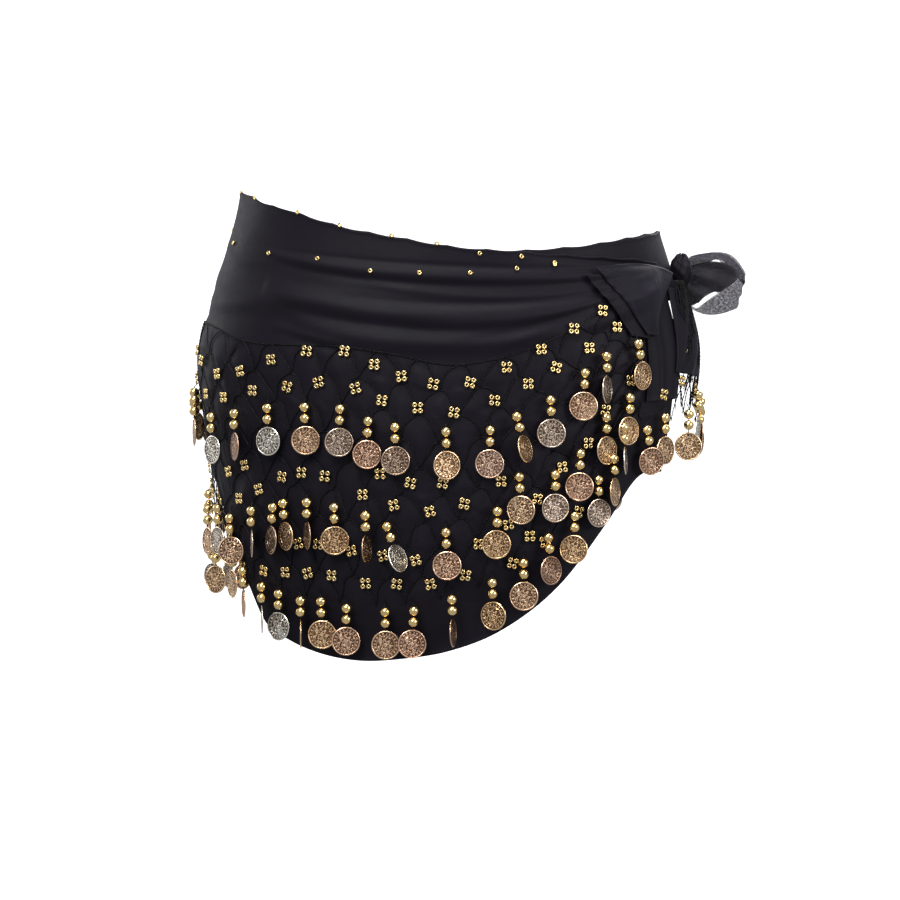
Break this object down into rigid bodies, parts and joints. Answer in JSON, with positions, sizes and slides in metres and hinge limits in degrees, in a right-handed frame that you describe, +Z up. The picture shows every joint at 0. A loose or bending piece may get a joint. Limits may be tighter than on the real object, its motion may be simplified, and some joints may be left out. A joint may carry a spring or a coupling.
{
  "type": "belly dance hip scarf",
  "caption": "Black chiffon hip scarf with gold coin drops and beads on an open net, held in its worn, hollow shape and tied at one hip with a bow loop",
  "frame": {"origin": "centre of the waist opening, where the wearer's waist holds the scarf", "axes": "+Z up, the front of the scarf faces -Y, the knot is at the wearer's left hip on +X"},
  "size_m": [0.3889, 0.2534, 0.3189],
  "materials": {
    "chiffon": "black chiffon with a faint violet cast, fine crepe weave, soft dull sheen",
    "sheer": "single layer of black chiffon, sheer and slightly grainy against the light",
    "net": "open black crochet net of thin chained thread",
    "coins": "thin stamped coins and beads in worn antique and rose gold plate"
  },
  "bodies": {
    "root": {"wrap_front": "chiffon", "wrap_back": "chiffon", "under_wrap": "chiffon", "net_front": "net", "net_back": "net", "net_side": "net", "fringe_upper_front": "coins", "fringe_upper_back": "coins", "fringe_middle_front": "coins", "fringe_middle_back": "coins", "fringe_lower_front": "coins", "fringe_lower_back": "coins", "fringe_side": "coins", "tie_under": "chiffon", "tie_fold": "chiffon", "tie_flap": "chiffon", "tie_tail": "sheer", "knot": "chiffon", "bow_loop": "sheer"}
  },
  "joints": []
}
